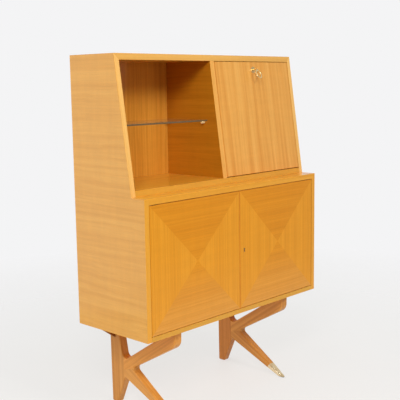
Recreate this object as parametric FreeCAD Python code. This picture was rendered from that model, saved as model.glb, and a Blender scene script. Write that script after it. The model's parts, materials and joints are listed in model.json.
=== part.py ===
"""Drop-front bar cabinet: a stepped, sloping case with doors, a flap and an open bay, on K-shaped legs.

Millimetres. +Z is up, the front faces -Y, and the origin is on the floor under the middle of the case.
"""
import FreeCAD
import Part
import math
import os

Vec = FreeCAD.Vector

# Overall sizes
width = 1000.0
depth = 383.0
leg_height = 365.0
case_height = 1011.0
lower_height = 511.5       # underside of the case to the ledge
ledge_depth = 66.5         # ledge in front of the foot of the slope
top_setback = 138.5        # front plane to the top front edge

# Boards
side_t = 21.0
top_t = 23.0
bottom_t = 18.0
ledge_t = 22.0
floor_t = 22.0
divider_t = 24.0
divider_x = -2.0
back_t = 6.0
back_rebate = 10.0
back_clear = 0.3
shelf_t = 18.0
shelf_height = 245.0       # underside of the wooden shelf above the underside of the case
shelf_front_inset = 20.0
shelf_clear = 0.75
stop_w = 12.0
stop_clear = 0.5
stop_end_gap = 30.0        # wall to the end of the door stop, clear of the turning doors

# Glass shelf
glass_t = 6.0
glass_height = 755.0       # underside of the glass above the underside of the case
glass_inset = 150.0        # front plane to the front edge of the glass
glass_clear = 1.5
glass_back_gap = 9.0
glass_ease = 0.5
glass_peg_inset = 19.0

# Shelf pegs
peg_r = 5.0
peg_out = 16.0
peg_pin_r = 2.5
peg_pin_len = 8.0
shelf_peg_inset = 30.0
peg_clear = 0.05

# Doors
door_t = 20.0
door_gap = 2.0
door_side_gap = 1.5
door_meeting_gap = 2.0
edge_ease = 2.0

# Flap
flap_t = 20.0
flap_side_gap = 1.5
flap_top_gap = 2.0
flap_bottom_gap = 2.4
flap_open_deg = 90.0       # past upright

# Knife hinges
pivot_in = 10.0            # pin to the hinge edge of the door or flap
pivot_back = 6.0           # pin to the outer face
leaf_len = 40.0
leaf_tail = 6.0
leaf_w = 9.0
leaf_t = 2.5
pin_r = 2.5
pin_clear = 0.05
pin_depth = 6.0
pin_well_r = 3.5
pin_well_depth = 8.0
collar_r = 4.0
collar_clear = 0.2
leaf_screw_at = (15.0, 27.0)

# Screws
screw_head_r = 3.0
screw_shank_r = 1.4
screw_len = 12.0
screw_clear = 0.05
back_screw_len = 20.0
back_screw_margin = 60.0
back_screw_shares = (-0.9, -0.3, 0.3, 0.9)   # of half the inside width
screw_edge = 1.0           # screw head to the edge of its plate
leg_screw_head_r = 5.5
leg_screw_shank_r = 3.0
leg_screw_len = 55.0

# Slotted stays
stay_reach = 115.0         # hinge pin to the stay pivot, along the flap
stay_standoff = 9.0        # flap's inner face to the stay pivot
stay_fold_deg = 20.0       # angle at the hinge between the stay pivot and the stud, flap shut
arm_w = 14.0
arm_t = 2.5
arm_side_gap = 4.0         # wall to the arm
arm_clear = 0.4
stud_r = 2.5
stud_head_r = 4.5
stud_head_t = 1.5
stud_flange_r = 7.0
slot_clear = 0.3
stay_bracket_t = 2.5
stay_bracket_len = 28.0
stay_bracket_w = 16.0
stay_bracket_screw = 8.4   # middle of the bracket to each screw

# Locks
flap_backset = 32.0
door_backset = 26.0
door_keyhole_height = 255.0
lock_half = 24.0
lock_front = 6.0           # outer face to the lock case
lock_wall = 1.5
lock_tail = 14.0
cover_t = 1.5
cover_lip = 6.0
bolt_half = 11.0
bolt_t = 4.0
bolt_clear = 0.2
bolt_rest = 0.6            # bolt end below the edge when drawn back
bolt_throw = 8.0
bolt_back = 1.5            # bolt to the lock cover
bolt_tail = 3.5            # keyhole to the back end of the bolt
strike_half = 20.0
strike_w = 16.0
strike_t = 1.5
strike_front = 5.0         # middle of the bolt to the front edge of the door strike
pocket_clear = 1.0
keyhole_r = 3.4
keyhole_slot = 1.9
keyhole_drop = 10.2
escutcheon_r = 13.0
escutcheon_t = 1.2
escutcheon_proud = 0.4
liner_wall = 1.0
liner_depth = 5.0

# Key with a folding bow
key_r = 2.9
key_out = 18.0             # outer face of the flap to the bow's pin
key_end = 12.3             # outer face to the inner end of the stem
key_shoulder = 3.5
tongue_half = 1.5
bit_half = 1.2
bit_reach = 9.0
bit_len = 3.3
bow_pin_r = 1.0
bow_pin_clear = 0.06
bow_cheek_t = 2.0
bow_cheek_r = 3.2
bow_cheek_clear = 0.2
bow_lug_start = 3.8
bow_droop_deg = 68.0
bow_drop = 24.0            # pin to the middle of the bow
bow_half_w = 16.5
bow_half_len = 19.5
bow_bar = 5.5
bow_half_t = 2.4

# Flush bolt on the left door
rod_r = 3.0
rod_clear = 0.1
rod_rest = 1.0             # rod end below the door's top edge when drawn down
rod_throw = 10.0
rod_from_edge = 25.0
guide_plate_t = 2.0
guide_plate_w = 18.0
guide_plate_len = 56.0
guide_half = 6.0
guide_h = 8.0
rod_axis = 4.5             # guide plate's face to the rod's axis
knob_r = 2.5
knob_len = 9.0
knob_gap = 1.0
rod_hole_clear = 0.5

# K-shaped leg frames: places are measured back from the front, forward from the rear, and down from the case
leg_from_centre = 322.0
leg_top_t = 40.0
leg_foot_t = 32.0
leg_rear_proud = 12.0      # keeps the case off a skirting board
leg_round = 5.0
post_top_w = 38.0
post_screw_from_rear = 25.5
upper_crotch_w = 76.0
upper_crotch_drop = 178.5
upper_crotch_round = 20.0
lower_crotch_w = 82.0
lower_crotch_drop = 246.0
lower_crotch_round = 6.0
rear_foot_w = 32.0
rear_foot_round = 5.5
knee_from_rear = 115.0
knee_drop = 225.0
front_crotch_from_rear = 122.0
front_crotch_drop = 200.0
front_crotch_round = 13.0
arm_end_inset = 28.0
arm_end_drop = 61.0
arm_end_round = 40.0
pad_len = 60.0
pad_drop = 28.5
pad_round = 20.0
tip_inset = 37.0

# Brass feet, glides and rear brackets
sabot_len = 77.0
sabot_top_w = 21.0
sabot_tip_w = 15.0
sabot_round = 6.0
sabot_proud = 0.4
spigot_r = 6.0
spigot_len = 28.0
spigot_clear = 0.05
sabot_glide_w = 12.0
sabot_glide_len = 28.0
sabot_glide_t = 3.0
rear_glide_r = 9.0
rear_glide_t = 2.0
rear_bracket_reach = 97.0
rear_bracket_drop = 90.0
rear_bracket_tip = 20.0
rear_bracket_t = 16.0
rear_bracket_inset = 15.5
rear_bracket_screws = (58.0, 82.0)   # from the bracket's outer end

# Modelling allowances
overrun = 1.0              # how far a cutting shape passes a face
close_by = 1.0             # how near a plane counts as on it

# Levels and planes worked out from the sizes above
half = width / 2
inner = half - side_t
front = -depth / 2
rear = depth / 2
back_face = rear - back_t
z_case = leg_height
z_top = z_case + case_height
z_under_top = z_top - top_t
z_ledge = z_case + lower_height
z_ledge_under = z_ledge - ledge_t
z_floor = z_ledge + floor_t
z_bottom_top = z_case + bottom_t
z_back_split = z_ledge - ledge_t / 2
lean = (top_setback - ledge_depth) / (case_height - lower_height)
lean_angle = math.atan(lean)
up_slope = Vec(0, math.sin(lean_angle), math.cos(lean_angle))
into_slope = Vec(0, math.cos(lean_angle), -math.sin(lean_angle))
divider_left = divider_x - divider_t / 2
divider_right = divider_x + divider_t / 2
flap_middle = (divider_right + inner) / 2

parts = {}


def slope_y(z):
    return front + ledge_depth + (z - z_ledge) * lean


def box(x0, x1, y0, y1, z0, z1):
    return Part.makeBox(x1 - x0, y1 - y0, z1 - z0, Vec(x0, y0, z0))


def rod(radius, start, end):
    axis = end - start
    return Part.makeCylinder(radius, axis.Length, start, axis)


def rounded_face(corners):
    """A flat face from (point, radius) corners, each corner rounded by its radius."""
    points = [point for point, _ in corners]
    edges = []
    starts = []
    ends = []
    for i, (corner, radius) in enumerate(corners):
        back = (points[i - 1] - corner).normalize()
        ahead = (points[(i + 1) % len(points)] - corner).normalize()
        half_angle = back.getAngle(ahead) / 2
        run = radius / math.tan(half_angle)
        starts.append(corner + back * run)
        ends.append(corner + ahead * run)
        if radius:
            inward = (back + ahead).normalize()
            middle = corner + inward * (radius / math.sin(half_angle) - radius)
            edges.append(Part.Arc(starts[i], middle, ends[i]).toShape())
        if i:
            edges.append(Part.LineSegment(ends[i - 1], starts[i]).toShape())
    edges.append(Part.LineSegment(ends[-1], starts[0]).toShape())
    return Part.Face(Part.Wire(Part.__sortEdges__(edges)))


def yz_prism(points, x0, x1, radii=None):
    radii = radii or [0.0] * len(points)
    corners = [(Vec(x0, y, z), radius) for (y, z), radius in zip(points, radii)]
    return rounded_face(corners).extrude(Vec(x1 - x0, 0, 0))


def xz_prism(points, y0, y1):
    corners = [(Vec(x, y0, z), 0.0) for x, z in points]
    return rounded_face(corners).extrude(Vec(0, y1 - y0, 0))


def placed(shape, origin, x_axis, y_axis, z_axis):
    """A copy of a shape with its own axes turned to the three given ones."""
    turn = FreeCAD.Matrix(
        x_axis.x, y_axis.x, z_axis.x, origin.x,
        x_axis.y, y_axis.y, z_axis.y, origin.y,
        x_axis.z, y_axis.z, z_axis.z, origin.z,
        0, 0, 0, 1,
    )
    copy = shape.copy()
    copy.Placement = FreeCAD.Placement(turn).multiply(copy.Placement)
    return copy


def flipped_x(shape, x=0.0):
    return shape.mirror(Vec(x, 0, 0), Vec(1, 0, 0))


def flipped_z(shape, z):
    return shape.mirror(Vec(0, 0, z), Vec(0, 0, 1))


def cut(name, *tools):
    parts[name] = parts[name].cut(list(tools))


def eased(shape, radius, wanted):
    """Rounds the edges whose two ends both satisfy a test."""
    edges = [edge for edge in shape.Edges if all(wanted(vertex.Point) for vertex in edge.Vertexes)]
    return shape.makeFillet(radius, edges)


def screw(head_r, shank_r, length, clear=0.0):
    """A countersunk screw with its head flush at the origin, pointing down."""
    head_h = head_r - shank_r
    head = Part.makeCone(shank_r + clear, head_r + clear, head_h, Vec(0, 0, -head_h))
    shank = rod(shank_r + clear, Vec(0, 0, -length - clear), Vec(0, 0, -head_h))
    return head.fuse(shank).removeSplitter()


def screw_pair(place, head_r=screw_head_r, shank_r=screw_shank_r, length=screw_len):
    """A screw and the clearance shape that is cut for it, both put in place."""
    return (place(screw(head_r, shank_r, length)),
            place(screw(head_r, shank_r, length, screw_clear)))


# Case boards

def make_case():
    profile = [(front, z_case), (rear, z_case), (rear, z_top), (slope_y(z_top), z_top),
               (slope_y(z_ledge), z_ledge), (front, z_ledge)]
    case = yz_prism(profile, -half, half)
    mitre = xz_prism([(-half, z_top), (half, z_top), (inner, z_under_top), (-inner, z_under_top)],
                     front, rear)
    recess_half = inner + back_rebate
    recess = box(-recess_half, recess_half, back_face, rear, z_case, z_under_top + back_rebate)
    left = case.common(box(-half, -inner, front, rear, z_case, z_top)).cut([mitre, recess])
    parts["left_side_panel"] = left
    parts["right_side_panel"] = flipped_x(left)
    parts["top_panel"] = case.common(mitre).cut(recess)
    parts["bottom_panel"] = box(-inner, inner, front, back_face, z_case, z_bottom_top)
    parts["ledge_board"] = box(-inner, inner, front, back_face, z_ledge_under, z_ledge)
    parts["upper_floor"] = case.common(box(-inner, inner, front, back_face, z_ledge, z_floor))
    parts["upper_divider"] = case.common(
        box(divider_left, divider_right, front, back_face, z_floor, z_under_top))
    back_half = recess_half - back_clear
    parts["upper_back"] = box(-back_half, back_half, back_face, rear,
                              z_back_split + back_clear, z_under_top + back_rebate - back_clear)
    parts["lower_back"] = box(-back_half, back_half, back_face, rear, z_case, z_back_split - back_clear)
    stop_front = front + door_t + stop_clear
    stop_half = inner - stop_end_gap
    parts["door_stop"] = box(-stop_half, stop_half, stop_front, stop_front + stop_w,
                             z_bottom_top, z_bottom_top + stop_w)


def make_back_screws():
    side_x = inner + back_rebate / 2
    quarter = ledge_t / 4
    spots = []
    for low, high in ((z_bottom_top, z_back_split), (z_floor, z_under_top)):
        for z in (low + back_screw_margin, (low + high) / 2, high - back_screw_margin):
            spots += [(-side_x, z), (side_x, z)]
    rows = (z_under_top + back_rebate / 2, z_back_split + quarter, z_back_split - quarter,
            z_case + bottom_t / 2)
    for z in rows:
        for share in back_screw_shares:
            spots.append((share * inner, z))
    screws = []
    holes = []
    for x, z in spots:
        def place(shape):
            return placed(shape, Vec(x, rear, z), Vec(1, 0, 0), Vec(0, 0, -1), Vec(0, 1, 0))
        solid, hole = screw_pair(place, length=back_screw_len)
        screws.append(solid)
        holes.append(hole)
    for name in ("upper_back", "lower_back", "left_side_panel", "right_side_panel", "top_panel",
                 "ledge_board", "bottom_panel"):
        cut(name, *holes)
    parts["back_screws"] = Part.makeCompound(screws)


# Shelves and pegs

def make_pegs(name, walls, depths, z_shelf):
    """Two pegs on each wall: (x, direction into the bay, node that carries them)."""
    pegs = []
    for x, side, carrier in walls:
        for y in depths:
            foot = Vec(x, y, z_shelf - peg_r)
            stub = rod(peg_r, foot, foot + Vec(side * peg_out, 0, 0))
            pin_end = foot - Vec(side * peg_pin_len, 0, 0)
            pegs.append(stub.fuse(rod(peg_pin_r, pin_end, foot)).removeSplitter())
            cut(carrier, rod(peg_pin_r + peg_clear, pin_end - Vec(side * peg_clear, 0, 0), foot))
    parts[name] = Part.makeCompound(pegs)


def make_shelves():
    z_shelf = z_case + shelf_height
    shelf_front = front + door_t + shelf_front_inset
    shelf_half = inner - shelf_clear
    parts["lower_shelf"] = box(-shelf_half, shelf_half, shelf_front, back_face - shelf_clear,
                               z_shelf, z_shelf + shelf_t)
    make_pegs("lower_shelf_pegs",
              ((-inner, 1, "left_side_panel"), (inner, -1, "right_side_panel")),
              (shelf_front + shelf_peg_inset, back_face - shelf_peg_inset), z_shelf)
    z_glass = z_case + glass_height
    glass_front = front + glass_inset
    glass_back = back_face - glass_back_gap
    glass = box(-inner + glass_clear, divider_left - glass_clear, glass_front, glass_back,
                z_glass, z_glass + glass_t)
    parts["glass_shelf"] = glass.makeChamfer(glass_ease, glass.Edges)
    make_pegs("glass_shelf_pegs",
              ((-inner, 1, "left_side_panel"), (divider_left, -1, "upper_divider")),
              (glass_front + glass_peg_inset, glass_back - glass_peg_inset), z_glass)


# Doors and flap as plain boards

def door_edges():
    return -inner + door_side_gap, -door_meeting_gap / 2


def make_doors():
    x0, x1 = door_edges()
    board = box(x0, x1, front, front + door_t, z_bottom_top + door_gap, z_ledge_under - door_gap)
    at_hinge = eased(board, edge_ease, lambda p: p.x < x0 + close_by and p.y < front + close_by)
    parts["left_door"] = at_hinge
    parts["right_door"] = flipped_x(at_hinge)


def flap_corner():
    """Lower outer corner of the flap, as a point in its middle plane."""
    z = z_floor + flap_bottom_gap
    return Vec(flap_middle, slope_y(z), z)


def flap_length():
    z = z_under_top - flap_top_gap
    return (z - flap_corner().z) / math.cos(lean_angle)


def make_flap():
    low = flap_corner()
    high = low + up_slope * flap_length()
    high_inner = high + into_slope * flap_t
    low_inner_y = low.y + flap_t / math.cos(lean_angle)
    points = [(low.y, low.z), (low_inner_y, low.z), (high_inner.y, high_inner.z), (high.y, high.z)]
    parts["flap"] = yz_prism(points, divider_right + flap_side_gap, inner - flap_side_gap,
                             [edge_ease, 0.0, 0.0, 0.0])
    stop_y = high_inner.y + stop_clear
    parts["flap_stop"] = box(divider_right, inner, stop_y, stop_y + stop_w, z_under_top - stop_w, z_under_top)


# Knife hinges

def knife_hinge(gap):
    """Hinge in its own axes: X along the board, Y into it, Z from the board's edge to the case."""
    x0 = -leaf_tail
    x1 = leaf_len - leaf_tail
    half_w = leaf_w / 2
    leaf = box(x0, x1, -half_w, half_w, -leaf_t, 0)
    plate = box(x0, x1, -half_w, half_w, gap, gap + leaf_t)
    well = rod(pin_well_r, Vec(0, 0, -pin_well_depth), Vec(0, 0, -leaf_t))
    part_cut = [leaf, well]
    case_cut = [plate]
    leaf = leaf.cut(rod(pin_r + pin_clear, Vec(0, 0, -leaf_t), Vec(0, 0, 0)))
    plate = plate.fuse([rod(collar_r, Vec(0, 0, collar_clear), Vec(0, 0, gap)),
                        rod(pin_r, Vec(0, 0, -pin_depth), Vec(0, 0, gap))]).removeSplitter()
    leaf_screws = []
    plate_screws = []
    for x in leaf_screw_at:
        solid, hole = screw_pair(lambda shape: shape.translated(Vec(x, 0, 0)))
        leaf_screws.append(solid)
        plate_screws.append(flipped_z(solid, gap / 2))
        leaf = leaf.cut(hole)
        plate = plate.cut(flipped_z(hole, gap / 2))
        part_cut.append(hole)
        case_cut.append(flipped_z(hole, gap / 2))
    return leaf, plate, leaf_screws, plate_screws, part_cut, case_cut


def spread(shapes, change):
    return [change(shape) for shape in shapes]


def make_door_hinges():
    x0, _ = door_edges()
    pivot = Vec(x0 + pivot_in, front + pivot_back, z_ledge_under - door_gap)
    z_middle = (z_bottom_top + z_ledge_under) / 2

    def at_top(shape):
        return shape.translated(pivot)

    leaf, plate, leaf_screws, plate_screws, part_cut, case_cut = knife_hinge(door_gap)
    plates = []
    screws = []
    for side, flip in (("left", lambda shape: shape), ("right", flipped_x)):
        leaves = []
        door_screws = []
        for turn in (lambda shape: shape, lambda shape: flipped_z(shape, z_middle)):
            def change(shape):
                return flip(turn(at_top(shape)))
            leaves.append(change(leaf))
            door_screws += spread(leaf_screws, change)
            plates.append(change(plate))
            screws += spread(plate_screws, change)
            cut(side + "_door", *spread(part_cut, change))
            for board in ("ledge_board", "bottom_panel"):
                cut(board, *spread(case_cut, change))
        parts[side + "_door_hinge_leaves"] = Part.makeCompound(leaves)
        parts[side + "_door_hinge_screws"] = Part.makeCompound(door_screws)
    parts["door_hinge_plates"] = Part.makeCompound(plates)
    parts["door_hinge_plate_screws"] = Part.makeCompound(screws)


def flap_pivot():
    return flap_corner() + up_slope * pivot_in + into_slope * pivot_back


def make_flap_hinges():
    pivot = flap_pivot()
    edge = Vec(divider_right + flap_side_gap, pivot.y, pivot.z)
    leaf, plate, leaf_screws, plate_screws, part_cut, case_cut = knife_hinge(flap_side_gap)
    leaves = []
    plates = []
    flap_screws = []
    case_screws = []
    for carrier, flip in (("upper_divider", lambda shape: shape),
                          ("right_side_panel", lambda shape: flipped_x(shape, flap_middle))):
        def change(shape):
            return flip(placed(shape, edge, up_slope, into_slope, Vec(-1, 0, 0)))
        leaves.append(change(leaf))
        plates.append(change(plate))
        flap_screws += spread(leaf_screws, change)
        case_screws += spread(plate_screws, change)
        cut("flap", *spread(part_cut, change))
        cut(carrier, *spread(case_cut, change))
    parts["flap_hinge_leaves"] = Part.makeCompound(leaves)
    parts["flap_hinge_plates"] = Part.makeCompound(plates)
    parts["flap_hinge_screws"] = Part.makeCompound(flap_screws)
    parts["flap_hinge_plate_screws"] = Part.makeCompound(case_screws)


# Slotted stays

def stay_geometry():
    """Stay pivot, stud and longest reach. Pivot and stud are at one distance from the hinge pin, so that
    the arm turns half as far as the flap."""
    pivot = flap_pivot()
    offset = up_slope * stay_reach + into_slope * (flap_t - pivot_back + stay_standoff)
    joint = pivot + offset
    radius = offset.Length
    angle = math.atan2(offset.z, offset.y) - math.radians(stay_fold_deg)
    stud = pivot + Vec(0, radius * math.cos(angle), radius * math.sin(angle))
    turn = math.radians(flap_open_deg) + lean_angle
    longest = 2 * radius * math.sin((math.radians(stay_fold_deg) + turn) / 2)
    return joint, stud, longest


def make_stays():
    joint, stud, longest = stay_geometry()
    along = stud - joint
    shortest = along.Length
    along = along.normalize()
    across = Vec(-1, 0, 0).cross(along)
    slot_r = stud_r + slot_clear
    half_w = arm_w / 2
    arm_end = longest + slot_r + half_w
    x_arm = inner - arm_side_gap
    eye = Vec(x_arm, joint.y, joint.z)

    def on_arm(shape):
        return placed(shape, eye, along, across, Vec(-1, 0, 0))

    end_eye = arm_end - half_w
    blank = box(0, end_eye, -half_w, half_w, 0, arm_t)
    arm = blank.fuse([rod(half_w, Vec(at, 0, 0), Vec(at, 0, arm_t)) for at in (0, end_eye)]).removeSplitter()
    slot = box(shortest, longest, -slot_r, slot_r, 0, arm_t).fuse(
        [rod(slot_r, Vec(at, 0, 0), Vec(at, 0, arm_t)) for at in (shortest, longest)])
    arm = arm.cut([slot, rod(stud_r + pin_clear, Vec(0, 0, 0), Vec(0, 0, arm_t))])

    x_tab = x_arm - arm_t - arm_clear
    outer = x_arm + arm_clear
    pin = rod(stud_r, Vec(x_tab, joint.y, joint.z), Vec(outer, joint.y, joint.z))
    cap = rod(stud_head_r, Vec(outer, joint.y, joint.z), Vec(outer + stud_head_t, joint.y, joint.z))
    half_len = stay_bracket_len / 2
    base = box(-half_len, half_len, -stay_bracket_w - stay_bracket_t, 0, 0, stay_bracket_t)
    tab = box(-half_w, half_w, -stay_bracket_t, 0, 0, stay_standoff + half_w)
    face_point = joint - into_slope * stay_standoff

    def on_flap(shape):
        return placed(shape, Vec(x_tab, face_point.y, face_point.z), up_slope, Vec(1, 0, 0), into_slope)

    bracket = on_flap(base.fuse(tab)).fuse([pin, cap]).removeSplitter()
    screws = []
    for at in (-stay_bracket_screw, stay_bracket_screw):
        spot = Vec(at, -stay_bracket_t - stay_bracket_w / 2, stay_bracket_t)
        solid, hole = screw_pair(lambda shape: on_flap(shape.translated(spot)))
        bracket = bracket.cut(hole)
        screws.append(solid)
        cut("flap", hole, flipped_x(hole, flap_middle))

    wall = Vec(inner, stud.y, stud.z)
    to_bay = Vec(-1, 0, 0)
    tip = arm_side_gap + arm_t + arm_clear
    post = rod(stud_r, wall, wall + to_bay * tip)
    flange = rod(stud_flange_r, wall, wall + to_bay * stud_head_t)
    spacer = rod(stud_head_r, wall, wall + to_bay * (arm_side_gap - arm_clear))
    head = rod(stud_head_r, wall + to_bay * tip, wall + to_bay * (tip + stud_head_t))
    fixing = rod(stud_r, wall - to_bay * screw_len, wall)
    stud_solid = post.fuse([flange, spacer, head, fixing]).removeSplitter()
    stud_hole = rod(stud_r + screw_clear, wall - to_bay * (screw_len + screw_clear), wall)
    cut("right_side_panel", stud_hole)
    cut("upper_divider", flipped_x(stud_hole, flap_middle))

    parts["right_stay_arm"] = on_arm(arm)
    parts["left_stay_arm"] = flipped_x(parts["right_stay_arm"], flap_middle)
    parts["stay_brackets"] = Part.makeCompound([bracket, flipped_x(bracket, flap_middle)])
    parts["stay_bracket_screws"] = Part.makeCompound(screws + [flipped_x(s, flap_middle) for s in screws])
    parts["stay_studs"] = Part.makeCompound([stud_solid, flipped_x(stud_solid, flap_middle)])


# Locks

def keyhole(backset, drop, depth_in):
    """Keyhole in a lock's axes: X along the throw, Y across, Z in from the outer face."""
    centre = Vec(-backset, 0, 0)
    outside = Vec(0, 0, -overrun)
    ream = rod(keyhole_r, centre + outside, centre + Vec(0, 0, depth_in))
    reach = drop * keyhole_drop
    wide = Vec(0, 0, 1).cross(drop) * keyhole_slot
    corners = [centre - wide, centre + wide, centre + wide + reach, centre - wide + reach]
    face = rounded_face([(corner + outside, 0.0) for corner in corners])
    return ream.fuse(face.extrude(Vec(0, 0, depth_in + overrun))).removeSplitter()


def make_lock(name, board, board_t, backset, drop, place):
    """Lock case, cover and bolt in a board. The edge that the bolt leaves is at X 0."""
    back = board_t - cover_t
    deep = backset + lock_tail
    cover_half = lock_half + cover_lip
    shell = box(-deep, 0, -lock_half, lock_half, lock_front, back)
    cavity = box(-deep + lock_wall, -lock_wall, -lock_half + lock_wall, lock_half - lock_wall,
                 lock_front + lock_wall, back)
    bolt_top = back - bolt_back
    bolt_low = bolt_top - bolt_t
    slot_half = bolt_half + bolt_clear
    mouth = box(-lock_wall, 0, -slot_half, slot_half, bolt_low - bolt_clear, bolt_top + bolt_clear)
    hole = keyhole(backset, drop, lock_front + lock_wall)
    plate = box(-deep - cover_lip, 0, -cover_half, cover_half, back, board_t)
    cut(board, place(shell), place(plate), place(hole))
    screws = []
    cover = plate
    for x in (-deep - cover_lip / 2, -cover_lip / 2 - lock_wall):
        for y in (-lock_half - cover_lip / 2, lock_half + cover_lip / 2):
            solid, gap = screw_pair(
                lambda shape: shape.translated(Vec(x, y, board_t)),
                head_r=screw_shank_r + cover_t / 2)
            cover = cover.cut(gap)
            cut(board, place(gap))
            screws.append(place(solid))
    parts[name + "_lock_case"] = place(shell.cut([cavity, mouth, hole]))
    parts[name + "_lock_cover"] = place(cover)
    parts[name + "_lock_bolt"] = place(
        box(-backset - bolt_tail, -bolt_rest, -bolt_half, bolt_half, bolt_low, bolt_top))
    parts[name + "_lock_screws"] = Part.makeCompound(screws)
    pocket_low = bolt_low - pocket_clear
    pocket_high = bolt_top + pocket_clear
    pocket_half = bolt_half + pocket_clear
    pocket = box(0, bolt_throw + pocket_clear, -pocket_half, pocket_half, pocket_low, pocket_high)
    return place(pocket), place(Part.Vertex(0, 0, (bolt_low + bolt_top) / 2)).Point


def flap_lock_place(shape):
    edge = flap_corner() + up_slope * flap_length()
    return placed(shape, edge, up_slope, Vec(1, 0, 0), into_slope)


def make_flap_lock():
    pocket, mouth = make_lock("flap", "flap", flap_t, flap_backset, Vec(-1, 0, 0), flap_lock_place)
    y = mouth.y + lean * flap_top_gap
    plate = box(flap_middle - strike_half, flap_middle + strike_half, y - strike_w / 2, y + strike_w / 2,
                z_under_top, z_under_top + strike_t)
    cut("top_panel", plate, pocket)
    parts["flap_strike"] = plate.cut(pocket)
    centre = Vec(-flap_backset, 0, 0)
    seat = escutcheon_t - escutcheon_proud
    disc = rod(escutcheon_r, centre - Vec(0, 0, escutcheon_proud), centre + Vec(0, 0, seat))
    cut("flap", flap_lock_place(disc))
    disc = disc.cut(keyhole(flap_backset, Vec(-1, 0, 0), lock_front))
    parts["flap_escutcheon"] = flap_lock_place(disc)


def make_door_lock():
    middle = Vec(door_meeting_gap / 2, front, z_case + door_keyhole_height)

    def place(shape):
        return placed(shape, middle, Vec(-1, 0, 0), Vec(0, 0, 1), Vec(0, 1, 0))

    pocket, mouth = make_lock("door", "right_door", door_t, door_backset, Vec(0, -1, 0), place)
    edge = -door_meeting_gap / 2
    plate = box(edge - strike_t, edge, mouth.y - strike_front, front + door_t,
                middle.z - strike_half, middle.z + strike_half)
    pocket.translate(Vec(edge - middle.x, 0, 0))
    cut("left_door", plate, pocket)
    parts["door_strike"] = plate.cut(pocket)
    hole = keyhole(door_backset, Vec(0, -1, 0), lock_front)
    centre = Vec(-door_backset, 0, 0)
    wide = keyhole_slot + liner_wall
    tail = box(centre.x - wide, centre.x + wide, -keyhole_drop - liner_wall, 0, 0, liner_depth)
    liner = rod(keyhole_r + liner_wall, centre, centre + Vec(0, 0, liner_depth)).fuse(tail)
    cut("right_door", place(liner))
    parts["door_keyhole_liner"] = place(liner.cut(hole).removeSplitter())


def make_key():
    """Key in the flap lock: a stem with a bit, and a bow that hangs folded from the stem's tongue."""
    centre = Vec(-flap_backset, 0, 0)
    out = Vec(0, 0, -1)
    pin_at = centre + out * key_out
    shoulder = pin_at - out * key_shoulder
    across = Vec(0, 1, 0)
    stem = rod(key_r, shoulder, centre - out * key_end)
    eye = rod(key_r, pin_at - across * tongue_half, pin_at + across * tongue_half)
    tongue = box(centre.x - key_r, centre.x + key_r, -tongue_half, tongue_half, pin_at.z, shoulder.z)
    bit_end = key_end - bit_half
    bit = box(centre.x - bit_reach, centre.x, -bit_half, bit_half, bit_end - bit_len, bit_end)
    key = stem.fuse([eye, tongue, bit]).removeSplitter()
    bore_end = across * tongue_half
    key = key.cut(rod(bow_pin_r + bow_pin_clear, pin_at - bore_end, pin_at + bore_end))
    parts["flap_key"] = flap_lock_place(key)

    cheek_in = tongue_half + bow_cheek_clear
    cheek_out = cheek_in + bow_cheek_t
    ring_top = bow_drop - bow_half_len
    solids = [rod(bow_pin_r, Vec(0, -cheek_out, 0), Vec(0, cheek_out, 0)),
              box(bow_lug_start, ring_top + bow_bar / 2, -cheek_out, cheek_out, -bow_half_t, bow_half_t)]
    for side in (-1, 1):
        near = Vec(0, side * cheek_in, 0)
        far = Vec(0, side * cheek_out, 0)
        solids.append(rod(bow_cheek_r, near, far))
        solids.append(box(0, bow_lug_start, min(near.y, far.y), max(near.y, far.y), -bow_half_t, bow_half_t))
    middle = Vec(bow_drop, 0, -bow_half_t)

    def oval(half_len, half_w):
        ring = Part.Ellipse(middle + Vec(half_len, 0, 0), middle + Vec(0, half_w, 0), middle)
        return Part.Face(Part.Wire(ring.toShape())).extrude(Vec(0, 0, 2 * bow_half_t))

    outside = oval(bow_half_len, bow_half_w)
    inside = oval(bow_half_len - bow_bar, bow_half_w - bow_bar)
    bow = solids[0].fuse(solids[1:] + [outside]).cut(inside).removeSplitter()
    droop = math.radians(bow_droop_deg)
    hang = Vec(-math.sin(droop), 0, -math.cos(droop))
    bow = placed(bow, pin_at, hang, across, hang.cross(across))
    parts["key_bow"] = flap_lock_place(bow)


# Flush bolt on the left door

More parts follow.
